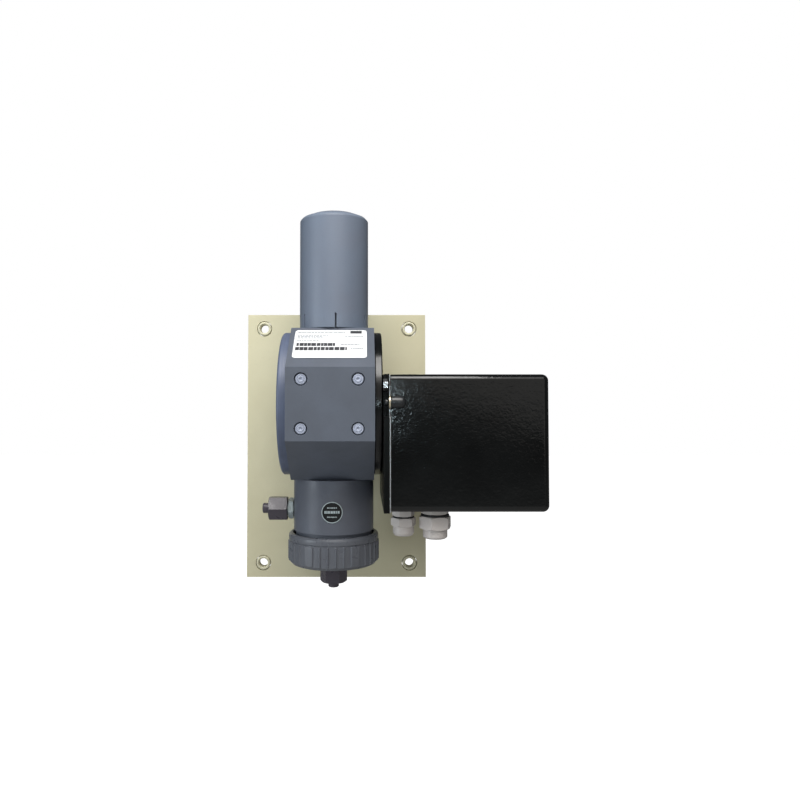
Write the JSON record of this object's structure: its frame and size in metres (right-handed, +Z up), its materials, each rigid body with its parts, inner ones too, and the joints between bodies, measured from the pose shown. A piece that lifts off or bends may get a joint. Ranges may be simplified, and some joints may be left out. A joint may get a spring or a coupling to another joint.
{
  "type": "peristaltic pump",
  "caption": "Wall-plate peristaltic pump: chamfered block with a sprung track under a tubular cover, a hose neck with a ribbed union nut, and a geared motor in a black box",
  "frame": {"origin": "the middle of the wall plate's back face", "axes": "+X right as seen from the front, +Y into the wall, +Z up"},
  "size_m": [0.282, 0.1716, 0.3641],
  "materials": {
    "plate_plastic": "cream sheet plastic, satin",
    "block_plastic": "anthracite machined plastic, matt",
    "sleeve_plastic": "blue-grey pipe plastic, satin",
    "neck_plastic": "dark blue-grey pipe plastic, satin",
    "black_plastic": "black turned plastic",
    "black_paint": "black gloss hammer paint",
    "gland_plastic": "light grey moulded plastic",
    "cap_plastic": "pale grey moulded plastic",
    "label_paper": "white laminated label",
    "sticker_paper": "black round sticker with a pale ring",
    "steel": "bright steel",
    "light_alloy": "machined light alloy",
    "brass": "bright brass",
    "fitting_plastic": "dark grey moulded plastic",
    "hose_rubber": "cream elastomer hose",
    "bearing_plastic": "white bearing plastic"
  },
  "bodies": {
    "frame": {"wall_plate": "plate_plastic", "plate_insert_1": "plate_plastic", "plate_insert_2": "plate_plastic", "plate_insert_3": "plate_plastic", "plate_insert_4": "plate_plastic", "block_screw_top": "steel", "block_screw_bottom": "steel", "pump_block": "block_plastic", "screw_cap_1": "cap_plastic", "screw_cap_2": "cap_plastic", "screw_cap_3": "cap_plastic", "screw_cap_4": "cap_plastic", "rating_label": "label_paper", "right_cover": "black_plastic", "right_bearing": "steel", "spigot": "block_plastic", "spigot_cap": "block_plastic", "shoe_spring": "steel", "front_raceway": "bearing_plastic", "rear_raceway": "bearing_plastic", "pump_hose": "hose_rubber", "neck_tube": "neck_plastic", "neck_sticker": "sticker_paper", "side_fitting_body": "fitting_plastic", "side_stub": "fitting_plastic", "base_flange": "black_paint", "flange_bolt": "steel", "dome_screw": "black_paint", "brass_washer": "brass", "gear_bracket": "light_alloy", "terminal_block": "black_plastic", "motor": "steel", "idler_shaft": "steel"},
    "left_side": {"left_cover": "sleeve_plastic", "left_bearing": "steel"},
    "sleeve": {"cover_sleeve": "sleeve_plastic"},
    "knob": {"adjuster_knob": "black_plastic"},
    "shoe": {"track_shoe": "bearing_plastic"},
    "rotor": {"rotor_shaft": "steel", "rotor_hub": "light_alloy", "roller_pin_1": "steel", "roller_pin_2": "steel", "roller_pin_3": "steel", "rotor_wheel": "brass"},
    "roller_1": {"roller_1": "bearing_plastic"},
    "roller_2": {"roller_2": "bearing_plastic"},
    "roller_3": {"roller_3": "bearing_plastic"},
    "idler": {"idler_gear": "brass"},
    "motor_rotor": {"motor_pinion": "steel"},
    "end_piece": {"end_piece": "neck_plastic", "inlet_stub": "fitting_plastic"},
    "union": {"union_nut": "neck_plastic"},
    "inlet_nut": {"inlet_nut": "fitting_plastic"},
    "side_nut": {"side_fitting_nut": "fitting_plastic"},
    "cover": {"drive_cover": "black_paint", "gland_small_body": "gland_plastic", "gland_large_body": "gland_plastic"},
    "gland_small_nut": {"gland_small_nut": "gland_plastic"},
    "gland_large_nut": {"gland_large_nut": "gland_plastic"}
  },
  "joints": [
    {"name": "left_cover_pull", "type": "slide", "parent": "frame", "child": "left_side", "axis": [-1, 0, 0], "range_m": [0, 0.06]},
    {"name": "sleeve_lift", "type": "slide", "parent": "frame", "child": "sleeve", "axis": [0, 0, 1], "range_m": [0, 0.115]},
    {"name": "knob_turn", "type": "hinge", "parent": "frame", "child": "knob", "pos_m": [0, -0.09, 0.205], "axis": [0, 0, -1], "range_deg": [0, 720]},
    {"name": "shoe_lift", "type": "slide", "parent": "frame", "child": "shoe", "axis": [0, 0, 1], "range_m": [0, 0.003], "deforming": ["shoe_spring"]},
    {"name": "rotor_spin", "type": "hinge", "parent": "frame", "child": "rotor", "pos_m": [0, -0.09, 0.045], "axis": [1, 0, 0], "continuous": true},
    {"name": "roller_1_spin", "type": "hinge", "parent": "rotor", "child": "roller_1", "pos_m": [0, -0.0605, 0.045], "axis": [1, 0, 0], "continuous": true},
    {"name": "roller_2_spin", "type": "hinge", "parent": "rotor", "child": "roller_2", "pos_m": [0, -0.10475, 0.07055], "axis": [1, 0, 0], "continuous": true},
    {"name": "roller_3_spin", "type": "hinge", "parent": "rotor", "child": "roller_3", "pos_m": [0, -0.10475, 0.01945], "axis": [1, 0, 0], "continuous": true},
    {"name": "idler_spin", "type": "hinge", "parent": "frame", "child": "idler", "pos_m": [0, -0.09, 0.019], "axis": [1, 0, 0], "continuous": true},
    {"name": "motor_spin", "type": "hinge", "parent": "frame", "child": "motor_rotor", "pos_m": [0, -0.09, -0.007], "axis": [1, 0, 0], "continuous": true},
    {"name": "end_piece_drop", "type": "slide", "parent": "frame", "child": "end_piece", "axis": [0, 0, -1], "range_m": [0, 0.012]},
    {"name": "union_turn", "type": "hinge", "parent": "end_piece", "child": "union", "pos_m": [0, -0.09, -0.09], "axis": [0, 0, -1], "range_deg": [0, 1080]},
    {"name": "inlet_nut_turn", "type": "hinge", "parent": "end_piece", "child": "inlet_nut", "pos_m": [0, -0.09, -0.115], "axis": [0, 0, -1], "range_deg": [0, 360]},
    {"name": "side_nut_turn", "type": "hinge", "parent": "frame", "child": "side_nut", "pos_m": [-0.05, -0.09, -0.054], "axis": [-1, 0, 0], "range_deg": [0, 360]},
    {"name": "cover_pull", "type": "slide", "parent": "frame", "child": "cover", "axis": [1, 0, 0], "range_m": [0, 0.14]},
    {"name": "gland_small_turn", "type": "hinge", "parent": "cover", "child": "gland_small_nut", "pos_m": [0.0632, -0.135, -0.06], "axis": [0, 0, -1], "range_deg": [0, 360]},
    {"name": "gland_large_turn", "type": "hinge", "parent": "cover", "child": "gland_large_nut", "pos_m": [0.0911, -0.135, -0.06], "axis": [0, 0, -1], "range_deg": [0, 360]}
  ],
  "couplings": [
    {"joint": "knob_turn", "follows": "shoe_lift", "rad_per_m": 4188.8},
    {"joint": "end_piece_drop", "follows": "union_turn", "m_per_rad": 0.00063662},
    {"joint": "idler_spin", "follows": "rotor_spin", "ratio": -2.25},
    {"joint": "motor_spin", "follows": "rotor_spin", "ratio": 5.0625},
    {"joint": "roller_1_spin", "follows": "rotor_spin", "ratio": -4.3556},
    {"joint": "roller_2_spin", "follows": "rotor_spin", "ratio": -4.3556},
    {"joint": "roller_3_spin", "follows": "rotor_spin", "ratio": -4.3556}
  ]
}
